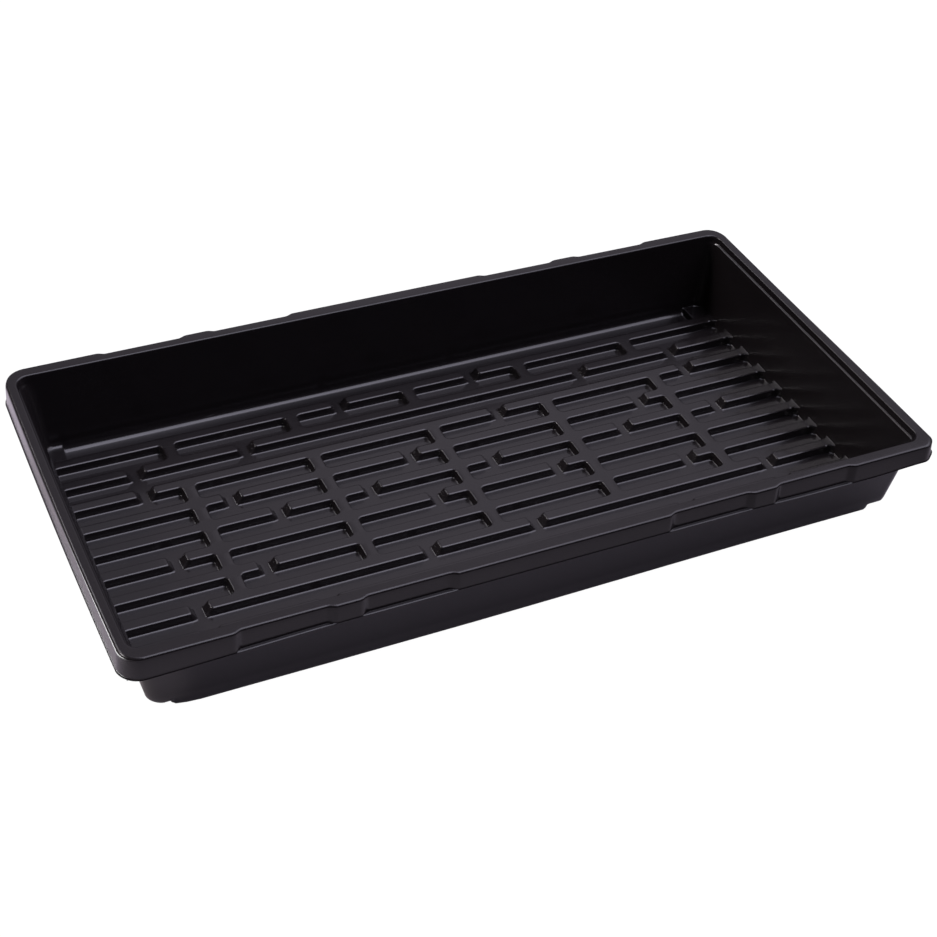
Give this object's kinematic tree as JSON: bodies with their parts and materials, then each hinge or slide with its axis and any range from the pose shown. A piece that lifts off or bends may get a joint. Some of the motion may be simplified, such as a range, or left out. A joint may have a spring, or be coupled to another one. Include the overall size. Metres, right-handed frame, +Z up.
{
  "type": "propagation tray",
  "caption": "Shallow rectangular open-top nursery tray with drafted walls, a rolled-down rim and a grooved floor that spreads water.",
  "frame": {"origin": "centre of the resting face, at the underside of the grooves", "axes": "+X along the long side, +Y across the short side, +Z up out of the open top"},
  "size_m": [0.5424, 0.279, 0.062],
  "materials": {
    "tray_plastic": "black thermoformed sheet, satin gloss with soft highlights along every fold"
  },
  "bodies": {
    "root": {"tray": "tray_plastic"}
  },
  "joints": []
}
